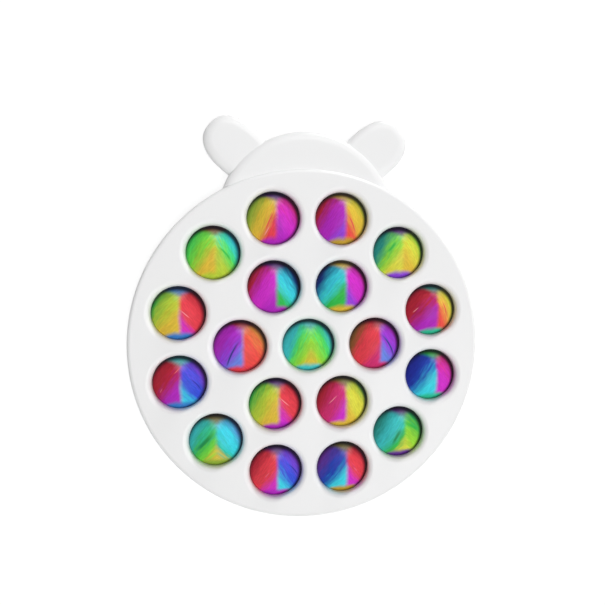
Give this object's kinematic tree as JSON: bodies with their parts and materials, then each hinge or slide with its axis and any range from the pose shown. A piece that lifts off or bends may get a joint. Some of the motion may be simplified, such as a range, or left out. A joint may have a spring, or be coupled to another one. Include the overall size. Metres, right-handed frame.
{
  "type": "bubble pop fidget toy",
  "caption": "Flat round board with a small head and round ears that clamps a pattern of rainbow silicone bubbles, each popped through by a fingertip.",
  "frame": {"origin": "middle of the board's length and width, on the plane of its back face that it lies on", "axes": "+Z out of the front face, towards whoever pops the bubbles; +Y towards the head; +X to the right as seen from the front"},
  "size_m": [0.1308, 0.1498, 0.0095],
  "materials": {
    "shell_white": "glossy white moulded plastic",
    "silicone_crimson": "glossy silicone, rainbow marbled",
    "silicone_magenta": "glossy silicone, rainbow marbled",
    "silicone_violet": "glossy silicone, rainbow marbled",
    "silicone_blue": "glossy silicone, rainbow marbled",
    "silicone_cyan": "glossy silicone, rainbow marbled",
    "silicone_teal": "glossy silicone, rainbow marbled",
    "silicone_green": "glossy silicone, rainbow marbled",
    "silicone_lime": "glossy silicone, rainbow marbled",
    "silicone_yellow": "glossy silicone, rainbow marbled",
    "silicone_orange": "glossy silicone, rainbow marbled"
  },
  "bodies": {
    "root": {"front_shell": "shell_white", "back_shell": "shell_white", "bubble_00_skirt": "silicone_teal", "bubble_01_skirt": "silicone_violet", "bubble_02_skirt": "silicone_magenta", "bubble_03_skirt": "silicone_cyan", "bubble_04_skirt": "silicone_violet", "bubble_05_skirt": "silicone_yellow", "bubble_06_skirt": "silicone_yellow", "bubble_07_skirt": "silicone_yellow", "bubble_08_skirt": "silicone_teal", "bubble_09_skirt": "silicone_yellow", "bubble_10_skirt": "silicone_magenta", "bubble_11_skirt": "silicone_green", "bubble_12_skirt": "silicone_lime", "bubble_13_skirt": "silicone_crimson", "bubble_14_skirt": "silicone_cyan", "bubble_15_skirt": "silicone_blue", "bubble_16_skirt": "silicone_magenta", "bubble_17_skirt": "silicone_teal", "bubble_18_skirt": "silicone_magenta"},
    "bubble_00": {"bubble_00_crown": "silicone_lime"},
    "bubble_01": {"bubble_01_crown": "silicone_crimson"},
    "bubble_02": {"bubble_02_crown": "silicone_cyan"},
    "bubble_03": {"bubble_03_crown": "silicone_violet"},
    "bubble_04": {"bubble_04_crown": "silicone_orange"},
    "bubble_05": {"bubble_05_crown": "silicone_crimson"},
    "bubble_06": {"bubble_06_crown": "silicone_magenta"},
    "bubble_07": {"bubble_07_crown": "silicone_magenta"},
    "bubble_08": {"bubble_08_crown": "silicone_lime"},
    "bubble_09": {"bubble_09_crown": "silicone_crimson"},
    "bubble_10": {"bubble_10_crown": "silicone_yellow"},
    "bubble_11": {"bubble_11_crown": "silicone_orange"},
    "bubble_12": {"bubble_12_crown": "silicone_crimson"},
    "bubble_13": {"bubble_13_crown": "silicone_violet"},
    "bubble_14": {"bubble_14_crown": "silicone_green"},
    "bubble_15": {"bubble_15_crown": "silicone_crimson"},
    "bubble_16": {"bubble_16_crown": "silicone_blue"},
    "bubble_17": {"bubble_17_crown": "silicone_green"},
    "bubble_18": {"bubble_18_crown": "silicone_cyan"}
  },
  "joints": [
    {"name": "bubble_00_pop", "type": "slide", "parent": "root", "child": "bubble_00", "axis": [0, 0, 1], "range_m": [-0.0088, 0], "deforming": ["bubble_00_skirt"]},
    {"name": "bubble_01_pop", "type": "slide", "parent": "root", "child": "bubble_01", "axis": [0, 0, 1], "range_m": [-0.0088, 0], "deforming": ["bubble_01_skirt"]},
    {"name": "bubble_02_pop", "type": "slide", "parent": "root", "child": "bubble_02", "axis": [0, 0, 1], "range_m": [-0.0088, 0], "deforming": ["bubble_02_skirt"]},
    {"name": "bubble_03_pop", "type": "slide", "parent": "root", "child": "bubble_03", "axis": [0, 0, 1], "range_m": [-0.0088, 0], "deforming": ["bubble_03_skirt"]},
    {"name": "bubble_04_pop", "type": "slide", "parent": "root", "child": "bubble_04", "axis": [0, 0, 1], "range_m": [-0.0088, 0], "deforming": ["bubble_04_skirt"]},
    {"name": "bubble_05_pop", "type": "slide", "parent": "root", "child": "bubble_05", "axis": [0, 0, 1], "range_m": [-0.0088, 0], "deforming": ["bubble_05_skirt"]},
    {"name": "bubble_06_pop", "type": "slide", "parent": "root", "child": "bubble_06", "axis": [0, 0, 1], "range_m": [-0.0088, 0], "deforming": ["bubble_06_skirt"]},
    {"name": "bubble_07_pop", "type": "slide", "parent": "root", "child": "bubble_07", "axis": [0, 0, 1], "range_m": [-0.0088, 0], "deforming": ["bubble_07_skirt"]},
    {"name": "bubble_08_pop", "type": "slide", "parent": "root", "child": "bubble_08", "axis": [0, 0, 1], "range_m": [-0.0088, 0], "deforming": ["bubble_08_skirt"]},
    {"name": "bubble_09_pop", "type": "slide", "parent": "root", "child": "bubble_09", "axis": [0, 0, 1], "range_m": [-0.0088, 0], "deforming": ["bubble_09_skirt"]},
    {"name": "bubble_10_pop", "type": "slide", "parent": "root", "child": "bubble_10", "axis": [0, 0, 1], "range_m": [-0.0088, 0], "deforming": ["bubble_10_skirt"]},
    {"name": "bubble_11_pop", "type": "slide", "parent": "root", "child": "bubble_11", "axis": [0, 0, 1], "range_m": [-0.0088, 0], "deforming": ["bubble_11_skirt"]},
    {"name": "bubble_12_pop", "type": "slide", "parent": "root", "child": "bubble_12", "axis": [0, 0, 1], "range_m": [-0.0088, 0], "deforming": ["bubble_12_skirt"]},
    {"name": "bubble_13_pop", "type": "slide", "parent": "root", "child": "bubble_13", "axis": [0, 0, 1], "range_m": [-0.0088, 0], "deforming": ["bubble_13_skirt"]},
    {"name": "bubble_14_pop", "type": "slide", "parent": "root", "child": "bubble_14", "axis": [0, 0, 1], "range_m": [-0.0088, 0], "deforming": ["bubble_14_skirt"]},
    {"name": "bubble_15_pop", "type": "slide", "parent": "root", "child": "bubble_15", "axis": [0, 0, 1], "range_m": [-0.0088, 0], "deforming": ["bubble_15_skirt"]},
    {"name": "bubble_16_pop", "type": "slide", "parent": "root", "child": "bubble_16", "axis": [0, 0, 1], "range_m": [-0.0088, 0], "deforming": ["bubble_16_skirt"]},
    {"name": "bubble_17_pop", "type": "slide", "parent": "root", "child": "bubble_17", "axis": [0, 0, 1], "range_m": [-0.0088, 0], "deforming": ["bubble_17_skirt"]},
    {"name": "bubble_18_pop", "type": "slide", "parent": "root", "child": "bubble_18", "axis": [0, 0, 1], "range_m": [-0.0088, 0], "deforming": ["bubble_18_skirt"]}
  ]
}
